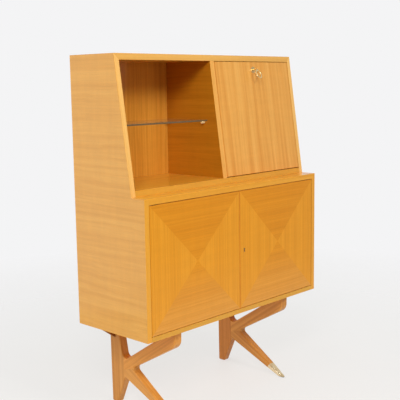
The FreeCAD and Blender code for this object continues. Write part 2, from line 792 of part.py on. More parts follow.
def make_flush_bolt():
    x = -door_meeting_gap / 2 - rod_from_edge
    face = front + door_t
    door_top = z_ledge_under - door_gap
    y = face + guide_plate_t + rod_axis
    rod_top = door_top - rod_rest
    plate_top = door_top - guide_plate_t
    plate_low = plate_top - guide_plate_len
    low_block = plate_low + guide_plate_t
    rod_low = low_block - rod_throw - guide_plate_t
    plate_half = guide_plate_w / 2
    plate = box(x - plate_half, x + plate_half, face, face + guide_plate_t, plate_low, plate_top)
    blocks = [box(x - guide_half, x + guide_half, face, y + guide_half, z, z + guide_h)
              for z in (plate_top - guide_h - guide_plate_t, low_block)]
    guide = plate.fuse(blocks).cut(rod(rod_r + rod_clear, Vec(x, y, plate_low), Vec(x, y, plate_top)))
    screws = []
    screw_in = screw_head_r + screw_edge
    for z in (low_block + guide_h + screw_in, plate_top - guide_plate_t - guide_h - screw_in):
        spot = Vec(x + plate_half - screw_in, face + guide_plate_t, z)
        solid, hole = screw_pair(lambda shape: placed(shape, spot, Vec(1, 0, 0), Vec(0, 0, -1), Vec(0, 1, 0)))
        guide = guide.cut(hole)
        cut("left_door", hole)
        screws.append(solid)
    knob_z = low_block + guide_h + knob_r + knob_gap
    bolt = rod(rod_r, Vec(x, y, rod_low), Vec(x, y, rod_top)).fuse(
        rod(knob_r, Vec(x, y, knob_z), Vec(x, y + rod_r + knob_len, knob_z)))
    parts["flush_bolt_guide"] = guide.removeSplitter()
    parts["flush_bolt_screws"] = Part.makeCompound(screws)
    parts["flush_bolt"] = bolt.removeSplitter()
    cut("ledge_board", rod(rod_r + rod_hole_clear, Vec(x, y, z_ledge_under),
                           Vec(x, y, z_ledge_under + rod_throw)))


# K-shaped legs, brass feet and brackets

def front_leg_axis():
    """Middle of the brass foot's tip on the floor, and the unit vector from it up to the knee."""
    tip = Vec(0, front + tip_inset, 0)
    knee = Vec(0, rear + leg_rear_proud - knee_from_rear, z_case - knee_drop)
    return tip, (knee - tip).normalize()


def make_leg_frame():
    back = rear + leg_rear_proud
    tip, up_leg = front_leg_axis()
    over_leg = Vec(1, 0, 0).cross(up_leg)
    end = tip + up_leg * sabot_len
    end_half = over_leg * (sabot_top_w / 2)
    upper_end = end + end_half
    lower_end = end - end_half
    corners = [
        ((back, z_case), 0.0),
        ((back, rear_glide_t), rear_foot_round),
        ((back - rear_foot_w, rear_glide_t), rear_foot_round),
        ((back - lower_crotch_w, z_case - lower_crotch_drop), lower_crotch_round),
        ((lower_end.y, lower_end.z), 0.0),
        ((upper_end.y, upper_end.z), 0.0),
        ((back - front_crotch_from_rear, z_case - front_crotch_drop), front_crotch_round),
        ((front + arm_end_inset, z_case - arm_end_drop), arm_end_round),
        ((front + arm_end_inset, z_case), 0.0),
        ((front + arm_end_inset + pad_len, z_case), 0.0),
        ((front + arm_end_inset + pad_len, z_case - pad_drop), pad_round),
        ((back - upper_crotch_w, z_case - upper_crotch_drop), upper_crotch_round),
        ((back - post_top_w, z_case), 0.0),
    ]
    points = [point for point, _ in corners]
    radii = [radius for _, radius in corners]
    blank = yz_prism(points, -leg_top_t, leg_top_t, radii)
    taper = xz_prism([(-leg_top_t / 2, z_case), (leg_top_t / 2, z_case),
                      (leg_foot_t / 2, 0), (-leg_foot_t / 2, 0)], front, back)
    frame = blank.common(taper)

    def on_face(edge):
        middle = edge.valueAt((edge.FirstParameter + edge.LastParameter) / 2)
        on_end = abs((middle - end).dot(up_leg)) < close_by
        flat = middle.z > z_case - close_by or middle.z < rear_glide_t + close_by
        return not on_end and not flat and edge.BoundBox.XLength < leg_foot_t / 2

    frame = frame.makeFillet(leg_round, [edge for edge in frame.Edges if on_face(edge)])
    spigot_end = end - up_leg * spigot_len
    frame = frame.fuse(rod(spigot_r, spigot_end, end + up_leg)).removeSplitter()

    def section(at, wide, thick):
        middle = tip + up_leg * at
        corners_at = [middle + Vec(sx * thick / 2, 0, 0) + over_leg * (sy * wide / 2)
                      for sx, sy in ((-1, -1), (1, -1), (1, 1), (-1, 1))]
        return rounded_face([(corner, sabot_round) for corner in corners_at]).OuterWire

    thick_at_end = leg_foot_t + (leg_top_t - leg_foot_t) * end.z / z_case
    below = -sabot_tip_w
    shrink = (sabot_top_w - sabot_tip_w) / sabot_len
    sabot = Part.makeLoft([
        section(sabot_len, sabot_top_w + 2 * sabot_proud, thick_at_end + 2 * sabot_proud),
        section(below, sabot_tip_w + shrink * below, sabot_tip_w + shrink * below + sabot_proud)], True, True)
    sabot = sabot.cut([rod(spigot_r + spigot_clear, spigot_end - up_leg * spigot_clear, end + up_leg),
                       box(-half, half, front - depth, rear, -depth, sabot_glide_t)])
    glide_half = (sabot_glide_len - sabot_glide_w) / 2
    glide_r = sabot_glide_w / 2
    glide_y = tip.y + sabot_glide_t * up_leg.y / up_leg.z
    pad = box(-glide_r, glide_r, glide_y - glide_half, glide_y + glide_half, 0, sabot_glide_t)
    ends = [rod(glide_r, Vec(0, glide_y + at, 0), Vec(0, glide_y + at, sabot_glide_t))
            for at in (-glide_half, glide_half)]
    glide = pad.fuse(ends).removeSplitter()
    rear_spot = Vec(0, back - rear_foot_w / 2, 0)
    rear_glide = rod(rear_glide_r, rear_spot, rear_spot + Vec(0, 0, rear_glide_t))
    return frame, sabot, glide, rear_glide


def make_legs():
    frame, sabot, glide, rear_glide = make_leg_frame()
    left = Vec(-leg_from_centre, 0, 0)
    frame.translate(left)
    back = rear + leg_rear_proud
    bracket_out = -leg_from_centre - leg_top_t / 2 - rear_bracket_reach
    bracket_in = -leg_from_centre
    bracket_low = z_case - rear_bracket_drop
    outline = [(bracket_out, z_case), (bracket_out, z_case - rear_bracket_tip),
               (bracket_in - leg_top_t / 2, bracket_low), (bracket_in, bracket_low), (bracket_in, z_case)]
    bracket_y = back - rear_bracket_inset
    bracket = xz_prism(outline, bracket_y - rear_bracket_t, bracket_y).cut(frame)
    pad_y = front + arm_end_inset
    spots = [(-leg_from_centre, pad_y + pad_len / 4), (-leg_from_centre, pad_y + pad_len * 3 / 4)]
    post_y = back - post_screw_from_rear
    spots += [(-leg_from_centre + side * leg_top_t / 4, post_y) for side in (-1, 1)]
    bracket_mid = bracket_y - rear_bracket_t / 2
    spots += [(bracket_out + at, bracket_mid) for at in rear_bracket_screws]
    screws = []
    for x, y in spots:
        def place(shape):
            return shape.translated(Vec(x, y, z_bottom_top))
        solid, hole = screw_pair(place, leg_screw_head_r, leg_screw_shank_r, leg_screw_len)
        cut("bottom_panel", hole, flipped_x(hole))
        frame = frame.cut(hole)
        bracket = bracket.cut(hole)
        screws += [solid, flipped_x(solid)]
    parts["left_leg_frame"] = frame
    parts["right_leg_frame"] = flipped_x(frame)
    parts["left_rear_bracket"] = bracket
    parts["right_rear_bracket"] = flipped_x(bracket)
    for piece in (sabot, glide, rear_glide):
        piece.translate(left)
    parts["left_sabot"] = sabot
    parts["right_sabot"] = flipped_x(sabot)
    parts["sabot_glides"] = Part.makeCompound([glide, flipped_x(glide)])
    parts["rear_glides"] = Part.makeCompound([rear_glide, flipped_x(rear_glide)])
    parts["leg_screws"] = Part.makeCompound(screws)


def main():
    make_case()
    make_back_screws()
    make_shelves()
    make_doors()
    make_flap()
    make_door_hinges()
    make_flap_hinges()
    make_stays()
    make_flap_lock()
    make_door_lock()
    make_key()
    make_flush_bolt()
    make_legs()
    os.makedirs("parts", exist_ok=True)
    for name, shape in parts.items():
        shape.exportStep("parts/" + name + ".step")
    print(len(parts), "nodes")
    for name, spot in (("flap pivot", flap_pivot()), ("stay pivot", stay_geometry()[0]),
                       ("key axis", flap_lock_place(Part.Vertex(-flap_backset, 0, 0)).Point)):
        print(name, [round(value, 4) for value in spot])


main()
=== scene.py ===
"""Looks of the drop-front bar cabinet: veneered boards, matched doors, shaped legs, brass and glass."""
import json
import math

import bmesh
import bpy
from mathutils import Matrix, Vector


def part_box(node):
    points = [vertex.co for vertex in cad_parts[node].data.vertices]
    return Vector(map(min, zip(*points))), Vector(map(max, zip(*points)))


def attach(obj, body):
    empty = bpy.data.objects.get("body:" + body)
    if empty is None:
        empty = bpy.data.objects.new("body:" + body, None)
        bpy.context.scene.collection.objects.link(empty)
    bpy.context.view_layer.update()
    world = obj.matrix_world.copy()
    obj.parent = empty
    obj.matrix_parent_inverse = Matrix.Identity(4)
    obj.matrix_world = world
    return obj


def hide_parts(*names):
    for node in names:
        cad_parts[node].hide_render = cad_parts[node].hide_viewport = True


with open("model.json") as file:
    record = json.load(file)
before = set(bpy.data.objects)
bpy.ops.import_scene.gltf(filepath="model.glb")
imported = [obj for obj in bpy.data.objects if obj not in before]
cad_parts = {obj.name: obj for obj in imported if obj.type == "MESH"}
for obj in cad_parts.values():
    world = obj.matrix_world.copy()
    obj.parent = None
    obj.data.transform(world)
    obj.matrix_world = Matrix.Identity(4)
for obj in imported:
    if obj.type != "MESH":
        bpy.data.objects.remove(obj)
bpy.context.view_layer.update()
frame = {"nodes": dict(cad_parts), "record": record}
nodes = frame["nodes"]
record = frame["record"]
slot_of = {row["node"]: row["material_slot"] for row in record["subparts"]}
body_of = {node: body for body, names in record["behaviour"]["bodies"].items() for node in names}


def linear(red, green, blue):
    """Linear colour from 0 to 255 screen values."""
    def one(value):
        share = value / 255
        return share / 12.92 if share <= 0.04045 else ((share + 0.055) / 1.055) ** 2.4
    return one(red), one(green), one(blue), 1.0


# Slope of the upper case's front, read from its boards
SLOPE_FOOT = Vector((0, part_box("upper_floor")[0].y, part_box("ledge_board")[1].z))
SLOPE_HEAD = Vector((0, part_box("top_panel")[0].y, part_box("top_panel")[0].z))
LEAN = math.atan2(SLOPE_HEAD.y - SLOPE_FOOT.y, SLOPE_HEAD.z - SLOPE_FOOT.z)
SLOPE_OUT = Vector((0, -math.cos(LEAN), math.sin(LEAN)))
FRONT = Vector((0, -1, 0))

# Cosines above which a face counts as turned a given way
PARTLY_FACING = 0.5
FACING = 0.8
SQUARE_ON = 0.99

# Limits for merging the CAD's triangles into whole faces
SAME_POINT = 1e-6
SAME_PLANE = math.radians(0.5)

# Width of eased edges, and the steps that round them
BOARD_EASE = 0.0008
DOOR_EASE = 0.0010
BRACKET_EASE = 0.0015
METAL_EASE = 0.0003
STEM_EASE = 0.0002
FOOT_EASE = 0.0006
BOW_ROUND = 0.0020
PEG_ROUND = 0.0046
EASE_STEPS = 2
BOW_STEPS = 4
PEG_STEPS = 7

# Edges that are eased
LONG_EDGE = 0.070                  # a board's shorter edges stay sharp
SHARP = math.radians(30)
METAL_SHARP = math.radians(40)
BOW_LUG = 0.009                    # from the bow's pin to the end of its square lug

# Widest angle between faces that are shaded as one
BOARD_SMOOTH = math.radians(50)
METAL_SMOOTH = math.radians(45)
LEG_SMOOTH = math.radians(35)
SCREW_SMOOTH = math.radians(35)

# Metal and rubber fittings whose edges aren't eased as the others are: width and steps
FITTING_EDGES = {
    "flap_key": (STEM_EASE, EASE_STEPS),
    "glass_shelf_pegs": (PEG_ROUND, PEG_STEPS),
    "lower_shelf_pegs": (PEG_ROUND, PEG_STEPS),
    "left_sabot": (FOOT_EASE, EASE_STEPS),
    "right_sabot": (FOOT_EASE, EASE_STEPS),
    "sabot_glides": (FOOT_EASE, EASE_STEPS),
    "rear_glides": (FOOT_EASE, EASE_STEPS),
}

# Screw heads
HEAD_SHARE = 0.7                   # of the widest flat face, above which a face is a head
HEAD_LEVEL = 1e-5
SLOT_SHARE = 0.20                  # of the head's radius
SLOT_DEPTH_SHARE = 0.22
SLOT_TURN = 2.4                    # radians from one screw to the next

# Points in the side plane where the three members of a leg frame meet and end
LEG_KNEE = Vector((0, 0.127, 0.149))
LEG_FRONT_CROTCH = Vector((0, 0.0815, 0.165))
LEG_ARM_END = Vector((0, -0.1375, 0.335))
LEG_TIP = Vector((0, -0.1545, 0.0))

# Grain direction of each member of a leg frame, and the place of its figure
LEG_MEMBERS = {
    "post": (Vector((0, 0, 1)), (0.6, 0.8, 0.4)),
    "arm": (LEG_ARM_END - LEG_KNEE, (0.1, 0.3, 0.7)),
    "front": (LEG_KNEE - LEG_TIP, (0.9, 0.5, 0.2)),
}

# Red, green and blue shares of the leg's tones for each member: painted light and shade, lighter on the
# left leg's arm and front member, darker on the right post in the shade under the case
LEG_LIGHT_AND_SHADE = {
    "left": {"post": (0.98, 0.98, 1.05), "arm": (1.2, 1.2, 1.2), "front": (1.11, 1.17, 1.36)},
    "right": {"post": (0.83, 0.70, 0.62), "arm": (1.0, 1.02, 1.08), "front": (0.92, 0.92, 0.98)},
}

# Doors: place of each door's figure, and how far the level leaves miss the upright ones
DOOR_SHIFT = {"left_door": Vector((0.15, 0.35, 0.55)), "right_door": Vector((0.75, 0.05, 0.25))}
LEAF_MISMATCH = Vector((0, 0.0015, 0))

# Noise of the wood figure: repeats per metre along the grain and in the two directions across it
DRIFT_SCALE = (2.2, 7.0, 7.0)
STREAK_SCALE_ALONG = 0.9
LINE_SCALE = (6.0, 520.0, 520.0)
RIPPLE_SCALE = (48.0, 8.0, 8.0)
PORE_SCALE = (110.0, 1900.0, 1900.0)

# Spans of noise values that the figures use
NOISE_MIDDLE = 0.5
SHADE_SPAN = (0.35, 0.65)
WIDE_SPAN = (0.3, 0.7)
PORE_SPAN = (0.28, 0.38)
STREAK_STOPS = (0.32, 0.5, 0.68)   # where the dark, middle and light tones stand
LINE_LIFT = 0.6                    # fine lines lighten this share of what they darken
PORE_HEIGHT = 0.6
LINE_HEIGHT = 0.4

# Dark, middle and light tone of each wood
# The side veneer is paler than the fronts', partly a painted sheen of the bright walls it faces
CASE_TONES = linear(220, 155, 62), linear(226, 162, 68), linear(231, 169, 75)
FRONT_TONES = linear(231, 156, 40), linear(236, 163, 47), linear(240, 170, 55)
# EDGE_TONES and DIVIDER_EDGE_TONES make the slope edges paler than the upright front edges of the same
# lipping: painted light on edges that face up
EDGE_TONES = linear(240, 180, 92), linear(245, 187, 100), linear(249, 194, 108)
HEAD_EDGE_TONES = linear(224, 163, 72), linear(230, 170, 80), linear(235, 177, 88)
FLOOR_EDGE_TONES = linear(214, 150, 40), linear(219, 156, 46), linear(223, 163, 53)
DIVIDER_EDGE_TONES = linear(234, 166, 74), linear(239, 171, 80), linear(244, 177, 87)
INNER_SIDE_TONES = linear(187, 117, 18), linear(195, 124, 22), linear(203, 131, 26)
INNER_BOARD_TONES = linear(212, 146, 40), linear(221, 154, 47), linear(229, 162, 55)
BACK_TONES = linear(208, 137, 43), linear(218, 148, 50), linear(227, 159, 58)
FLAP_TONES = linear(222, 148, 58), linear(231, 162, 71), linear(240, 176, 86)
# The door leaves are one veneer: the head leaf is darker than the upright ones, a painted sheen of the
# grain's direction, and the foot leaf paler, painted light and reflection from the floor
UPRIGHT_TONES = linear(226, 146, 24), linear(231, 152, 30), linear(236, 158, 36)
HEAD_TONES = linear(218, 135, 13), linear(223, 141, 18), linear(228, 147, 24)
FOOT_TONES = linear(221, 147, 50), linear(226, 153, 56), linear(231, 159, 62)
LEG_TONES = linear(192, 123, 48), linear(205, 137, 57), linear(217, 150, 68)
# The bracket wood is painted dark: painted shade where the brackets sit under the case
BRACKET_SHADE_TONES = linear(150, 88, 34), linear(160, 97, 40), linear(170, 106, 47)
PLY_TONES = linear(190, 146, 92), linear(206, 164, 110), linear(218, 178, 126)
# Pale eased edges: real wear and a painted highlight along the case's edges
WEAR_AND_HIGHLIGHT_TONES = linear(228, 154, 50), linear(236, 168, 62), linear(242, 178, 76)
# Darker edges of the doors and flap: painted shade in the gaps around them
GAP_SHADE_TONES = linear(206, 120, 30), linear(216, 130, 36), linear(226, 140, 44)

# Shares of the foot leaf's tones at the middle of a door and at its edge: the leaf pales towards the door's
# bottom, a painted reflection of the floor
FOOT_REFLECTION_MIDDLE = (0.99, 0.855, 0.10, 1.0)
LEAF_EDGE = (1.0, 1.0, 1.0, 1.0)

# Lacquer on the woods that differ from the rest
POLISHED = {"coat": 1.0, "gloss": 0.05}
FLATTED = {"coat": 0.4, "gloss": 0.30}
DOOR_LACQUER = {"coat": 0.4}
LEG_LACQUER = {"roughness": (0.36, 0.48), "coat": 0.3}
DULL = {"roughness": (0.5, 0.65), "coat": 0.0}

# Floor
FLOOR_RADIUS = 6.0
FLOOR_CORNERS = 96
FLOOR_FADE = (0.8, 3.0)            # from the middle of the floor
FLOOR_DARK = linear(128, 126, 124)
FLOOR_LIGHT = linear(134, 132, 130)
FLOOR_GLOW = linear(255, 255, 254)

# Studio: white walls stand behind and to the right, and the room in front is dim
BACKGROUND = linear(244, 244, 245)
FILL_COLOUR = (1.0, 0.99, 0.97, 1.0)
WHITE_WALLS = (0.32, 0.72, 0.40)
WALL_SPAN = (-0.9, 0.4)
DARK_FILL = 0.05
WHITE_FILL = 0.72

# Lamps: place, point aimed at, width and height, and power in watts
CABINET_MIDDLE = (0.0, 0.0, 1.0)
CABINET_LEFT = (-0.5, 0.0, 0.8)
LAMPS = {
    "front_softbox": ((-0.27, -3.95, 3.40), CABINET_MIDDLE, (1.3, 1.1), 77),
    "left_softbox": ((-3.07, -2.46, 3.22), CABINET_MIDDLE, (1.3, 1.1), 86),
    "front_fill": ((0.60, -4.0, 1.4), CABINET_MIDDLE, (1.6, 1.6), 8),
    "left_wall": ((-2.9, 1.5, 0.95), CABINET_LEFT, (2.8, 2.8), 23),
}

# Camera of the photograph
LENS = 71.536
SENSOR = 36.0
CAMERA_PLACE = (-2.3202, -2.1739, 1.2675)
CAMERA_YAW = -0.81347
CAMERA_PITCH = -0.14569
CAMERA_ROLL = 0.01484
CAMERA_LEVEL = math.radians(90)    # turns a camera that looks down to look ahead

# Sockets of a Mix node that mixes colours
MIX_FACTOR, MIX_FIRST, MIX_SECOND, MIX_RESULT = 0, 6, 7, 2


# Node helpers

class Nodes:
    """A node tree with short calls for the nodes used here."""

    def __init__(self, tree):
        self.tree = tree

    def add(self, kind, **settings):
        node = self.tree.nodes.new(kind)
        for key, value in settings.items():
            setattr(node, key, value)
        return node

    def link(self, start, end):
        self.tree.links.new(start, end)

    def put(self, value, socket):
        """Links a socket, or stores a plain value."""
        if isinstance(value, bpy.types.NodeSocket):
            self.link(value, socket)
        else:
            socket.default_value = value

    def feed(self, node, **sockets):
        for key, value in sockets.items():
            self.put(value, node.inputs[key.replace("_", " ")])
        return node

    def vector(self, operation, first, second=None):
        node = self.add("ShaderNodeVectorMath", operation=operation)
        self.put(first, node.inputs[0])
        if second is not None:
            self.put(second, node.inputs[1])
        return node.outputs["Value" if operation in ("LENGTH", "DOT_PRODUCT") else "Vector"]

    def range(self, value, span, new_span):
        """Carries a span of values over to a new span, and stops at its ends."""
        node = self.feed(self.add("ShaderNodeMapRange"), Value=value)
        for key, number in zip(("From Min", "From Max", "To Min", "To Max"), (*span, *new_span)):
            node.inputs[key].default_value = number
        return node.outputs["Result"]


class Shader(Nodes):
    """A material's node tree."""

    def __init__(self, name):
        self.material = bpy.data.materials.new(name)
        self.material.use_nodes = True
        super().__init__(self.material.node_tree)
        self.surface = self.tree.nodes["Principled BSDF"]

    def set(self, **sockets):
        for key, value in sockets.items():
            self.surface.inputs[key.replace("_", " ")].default_value = value

    def object_place(self):
        return self.add("ShaderNodeTexCoord").outputs["Object"]

    def mapping(self, place, location=(0, 0, 0), turn=(0, 0, 0), scale=(1, 1, 1)):
        node = self.add("ShaderNodeMapping")
        self.feed(node, Vector=place, Location=location, Rotation=turn, Scale=scale)
        return node.outputs["Vector"]

    def noise(self, place, scale=1.0, detail=3.0, roughness=0.55):
        node = self.add("ShaderNodeTexNoise")
        self.feed(node, Vector=place, Scale=scale, Detail=detail, Roughness=roughness)
        return node.outputs["Fac"]

    def math(self, operation, first, second):
        node = self.add("ShaderNodeMath", operation=operation)
        self.put(first, node.inputs[0])
        self.put(second, node.inputs[1])
        return node.outputs[0]

    def ramp(self, value, stops, colours):
        node = self.add("ShaderNodeValToRGB")
        self.link(value, node.inputs["Fac"])
        band = node.color_ramp
        while len(band.elements) < len(stops):
            band.elements.new(NOISE_MIDDLE)
        for element, stop, colour in zip(band.elements, stops, colours):
            element.position = stop
            element.color = colour
        return node.outputs["Color"]

    def mix(self, factor, first, second, blend="MIX"):
        node = self.add("ShaderNodeMix", data_type="RGBA", blend_type=blend)
        self.put(factor, node.inputs[MIX_FACTOR])
        self.put(first, node.inputs[MIX_FIRST])
        self.put(second, node.inputs[MIX_SECOND])
        return node.outputs[MIX_RESULT]

    def multiply(self, colour, share):
        return self.mix(1.0, colour, share, "MULTIPLY")

    def shade(self, colour, value, low, high):
        """Darkens and lightens a colour by a noise value."""
        return self.multiply(colour, self.range(value, SHADE_SPAN, (low, high)))

    def colour(self, socket):
        self.link(socket, self.surface.inputs["Base Color"])

    def two_tones(self, value, dark, light, span=SHADE_SPAN):
        self.colour(self.ramp(value, span, (dark, light)))

    def roughness(self, value, low, high, span=WIDE_SPAN):
        self.link(self.range(value, span, (low, high)), self.surface.inputs["Roughness"])

    def bump(self, height, strength, distance):
        node = self.feed(self.add("ShaderNodeBump"), Height=height, Strength=strength, Distance=distance)
        self.link(node.outputs["Normal"], self.surface.inputs["Normal"])


# Wood

def grain_along(y, z):
    """Turn that brings a grain direction in the side plane onto the pattern's X axis."""
    return -math.atan2(z, y), 0, math.radians(-90)


GRAIN_ACROSS = (math.radians(90), 0, 0)
GRAIN_DEPTH = grain_along(1, 0)
GRAIN_UP = grain_along(0, 1)
GRAIN_SLOPE = grain_along(math.sin(LEAN), math.cos(LEAN))


def grain_figure(shader, place, tones, streak=0.016, wander=0.010, fine=0.05, ripple=0.015, pore=0.14):
    """Broad streaks, fine lines, cross ripple and pores on coordinates whose X runs along the grain."""
    drift = shader.noise(shader.mapping(place, scale=DRIFT_SCALE), detail=2.0)
    shift = shader.math("MULTIPLY", shader.math("SUBTRACT", drift, NOISE_MIDDLE), 2 * wander)
    push = shader.feed(shader.add("ShaderNodeCombineXYZ"), Y=shift, Z=shift)
    bent = shader.vector("ADD", place, push.outputs["Vector"])
    streak_scale = (STREAK_SCALE_ALONG, 1 / streak, 1 / streak)
    streaks = shader.noise(shader.mapping(bent, scale=streak_scale), detail=3.0, roughness=0.5)
    lines = shader.noise(shader.mapping(bent, scale=LINE_SCALE), detail=3.0, roughness=0.65)
    curl = shader.noise(shader.mapping(place, scale=RIPPLE_SCALE), detail=2.0)
    pores = shader.noise(shader.mapping(bent, scale=PORE_SCALE), detail=1.0)
    colour = shader.ramp(streaks, STREAK_STOPS, tones)
    colour = shader.shade(colour, lines, 1 - fine, 1 + LINE_LIFT * fine)
    colour = shader.shade(colour, curl, 1 - ripple, 1 + ripple)
    colour = shader.multiply(colour, shader.range(pores, PORE_SPAN, (1 - pore, 1.0)))
    return colour, lines, pores


def finish_wood(shader, colour, lines, pores, roughness=(0.40, 0.52), coat=0.6, gloss=0.10):
    """A thin coat of clear lacquer over the wood."""
    shader.colour(colour)
    shader.roughness(lines, *roughness)
    pore_height = shader.math("MULTIPLY", pores, PORE_HEIGHT)
    line_height = shader.math("MULTIPLY", lines, LINE_HEIGHT)
    shader.bump(shader.math("ADD", pore_height, line_height), strength=0.05, distance=0.0004)
    shader.set(Coat_Weight=coat, Coat_Roughness=gloss, IOR=1.46, Specular_IOR_Level=0.15)
    return shader.material


def veneer(name, turn, tones, shift, lacquer=None, **figure):
    shader = Shader(name)
    place = shader.mapping(shader.object_place(), location=shift, turn=turn)
    return finish_wood(shader, *grain_figure(shader, place, tones, **figure), **(lacquer or {}))


def matched_veneer(name, middle, turn, tones, shift, reflection_middle=None, reach=0.0):
    """Veneer whose figure is mirrored about the middle of a door, as leaves opened like a book are.

    A leaf given a reflection share takes it at the door's middle and loses it over the reach: it pales
    towards the door's edge, a painted reflection of the floor.
    """
    shader = Shader(name)
    mirrored = shader.vector("ABSOLUTE", shader.mapping(shader.object_place(), location=-middle))
    place = shader.mapping(mirrored, location=shift, turn=turn)
    figure = {"streak": 0.009, "wander": 0.003, "ripple": 0.012, "fine": 0.07}
    colour, lines, pores = grain_figure(shader, place, tones, **figure)
    # Painted reflection of the floor: the leaf pales from the door's middle towards its edge
    if reflection_middle:
        height = shader.feed(shader.add("ShaderNodeSeparateXYZ"), Vector=mirrored).outputs["Z"]
        share = shader.mix(shader.range(height, (0.0, reach), (0.0, 1.0)), reflection_middle, LEAF_EDGE)
        colour = shader.multiply(colour, share)
    return finish_wood(shader, colour, lines, pores, **DOOR_LACQUER)


def leg_wood(name, along, board, shift):
    # board holds the member's shares of painted light and shade
    tones = [(*(share * value for share, value in zip(board, tone)), 1.0) for tone in LEG_TONES]
    return veneer(name, grain_along(along.y, along.z), tones, shift, LEG_LACQUER,
                  streak=0.010, wander=0.008, fine=0.07, pore=0.18)


side_veneer = veneer("side_veneer", GRAIN_DEPTH, CASE_TONES, (0.3, 0.2, 0.1),
                     streak=0.012, wander=0.02, ripple=0.02)
board_veneer = veneer("board_veneer", GRAIN_ACROSS, FRONT_TONES, (0.9, 0.4, 0.6), POLISHED)
top_veneer = veneer("top_veneer", GRAIN_ACROSS, FRONT_TONES, (0.3, 0.7, 0.1), FLATTED)
inner_side = veneer("inner_side", GRAIN_DEPTH, INNER_SIDE_TONES, (0.5, 0.9, 0.7), streak=0.012, wander=0.02)
inner_board = veneer("inner_board", GRAIN_ACROSS, INNER_BOARD_TONES, (0.7, 0.2, 0.4))
back_veneer = veneer("back_veneer", GRAIN_UP, BACK_TONES, (0.2, 0.7, 0.5), streak=0.010, fine=0.09)
rear_ply = veneer("rear_ply", GRAIN_UP, PLY_TONES, (0.6, 0.1, 0.9), DULL, streak=0.03, fine=0.09, pore=0.25)
flap_veneer = veneer("flap_veneer", GRAIN_SLOPE, FLAP_TONES, (0.5, 0.3, 0.8), fine=0.06)
edge_upright = veneer("edge_upright", GRAIN_UP, FRONT_TONES, (0.1, 0.9, 0.3))
edge_slope = veneer("edge_slope", GRAIN_SLOPE, EDGE_TONES, (0.7, 0.1, 0.2))
edge_divider = veneer("edge_divider", GRAIN_SLOPE, DIVIDER_EDGE_TONES, (0.2, 0.4, 0.9))
edge_level = veneer("edge_level", GRAIN_ACROSS, FRONT_TONES, (0.4, 0.6, 0.9))
edge_head = veneer("edge_head", GRAIN_ACROSS, HEAD_EDGE_TONES, (0.2, 0.5, 0.3))
edge_floor = veneer("edge_floor", GRAIN_ACROSS, FLOOR_EDGE_TONES, (0.6, 0.8, 0.2))
# Eased edges: wear and a painted highlight
worn_edge = veneer("worn_edge", GRAIN_UP, WEAR_AND_HIGHLIGHT_TONES, (0.3, 0.8, 0.1), DULL, streak=0.03, ripple=0.05)
# Door and flap edges: painted gap shade
rubbed_edge = veneer("rubbed_edge", GRAIN_UP, GAP_SHADE_TONES, (0.8, 0.4, 0.6), DULL, streak=0.03, ripple=0.05)
# Dark bracket wood: painted shade under the case
bracket_wood = veneer("bracket_wood", GRAIN_ACROSS, BRACKET_SHADE_TONES, (0.4, 0.2, 0.6), DULL,
                      streak=0.010, fine=0.10)


# Metal, glass and rubber

def polished_brass():
    shader = Shader("polished_brass")
    place = shader.object_place()
    stain = shader.noise(place, scale=45.0, detail=4.0)
    rub = shader.noise(shader.mapping(place, scale=(900, 900, 120)), detail=2.0)
    shader.two_tones(stain, linear(226, 196, 148), linear(244, 224, 186), span=(0.30, 0.60))
    shader.roughness(rub, 0.12, 0.22)
    shader.bump(rub, strength=0.02, distance=0.00003)
    shader.set(Metallic=1.0)
    return shader.material


def satin_brass(name, metallic):
    """Brass that hands have dulled, and a paler, barely metallic brass on the glass shelf's pegs whose
    cream colour is a painted highlight standing in for their glint.
    """
    shader = Shader(name)
    place = shader.object_place()
    stain = shader.noise(place, scale=160.0, detail=4.0)
    rub = shader.noise(shader.mapping(place, scale=(700, 700, 700)), detail=2.0)
    shader.two_tones(stain, linear(244, 206, 132), linear(255, 236, 184))
    shader.roughness(rub, 0.22, 0.34)
    shader.bump(rub, strength=0.02, distance=0.00005)
    shader.set(Metallic=metallic)
    return shader.material


def plain_steel():
    shader = Shader("plain_steel")
    place = shader.object_place()
    brush = shader.noise(shader.mapping(place, scale=(80, 1600, 1600)), detail=2.0)
    stain = shader.noise(place, scale=90.0)
    shader.two_tones(stain, linear(128, 124, 118), linear(186, 182, 176))
    shader.roughness(brush, 0.28, 0.46)
    shader.bump(brush, strength=0.05, distance=0.0002)
    shader.set(Metallic=1.0)
    return shader.material


def shelf_glass():
    shader = Shader("shelf_glass")
    smear = shader.noise(shader.object_place(), scale=18.0, detail=4.0)
    shader.roughness(smear, 0.0, 0.05, span=(0.4, 0.75))
    shader.set(Transmission_Weight=0.94, IOR=1.5, Base_Color=linear(226, 231, 222))
    return shader.material


def glass_edge():
    """Ground edge of the glass, where the tint of the whole sheet is seen, made opaque and dark: painted
    shade of what is seen through it.
    """
    shader = Shader("glass_edge")
    grind = shader.noise(shader.mapping(shader.object_place(), scale=(140, 140, 1400)), detail=3.0)
    shader.two_tones(grind, linear(88, 74, 46), linear(122, 104, 72))
    shader.roughness(grind, 0.10, 0.24)
    shader.bump(grind, strength=0.05, distance=0.0002)
    shader.set(IOR=1.5)
    return shader.material


def glide_rubber():
    # Dark rubber of the glides; the wide pads under the sabots also stand partly for the shade beneath
    # them, a painted shade
    shader = Shader("glide_rubber")
    dust = shader.noise(shader.object_place(), scale=240.0, detail=4.0)
    shader.two_tones(dust, linear(22, 20, 18), linear(52, 47, 42), span=(0.4, 0.7))
    shader.roughness(dust, 0.6, 0.85)
    shader.bump(dust, strength=0.15, distance=0.0003)
    return shader.material


brass = polished_brass()
handled_brass = satin_brass("handled_brass", metallic=1.0)
# The pegs' pale, barely metallic brass is a painted highlight
plated_brass = satin_brass("plated_brass", metallic=0.25)
steel = plain_steel()
glass = shelf_glass()
ground_glass = glass_edge()
rubber = glide_rubber()

